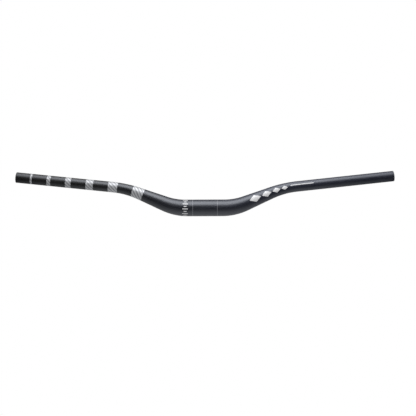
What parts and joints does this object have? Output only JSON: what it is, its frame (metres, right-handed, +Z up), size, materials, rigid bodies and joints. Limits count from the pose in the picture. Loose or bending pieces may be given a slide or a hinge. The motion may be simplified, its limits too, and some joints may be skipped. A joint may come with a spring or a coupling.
{
  "type": "riser handlebar",
  "caption": "wide hollow riser handlebar for a mountain bike, thick at the stem clamp, bent up and back on each side and tapering to thin grip ends",
  "frame": {"origin": "middle of the stem clamp seat, on the tube's axis", "axes": "+X along the clamp seat to the rider's left, +Y back to the rider, the way the grips sweep, +Z up"},
  "size_m": [0.8034, 0.0759, 0.0892],
  "materials": {
    "handlebar": "satin black moulded composite"
  },
  "bodies": {
    "root": {"handlebar": "handlebar"}
  },
  "joints": []
}
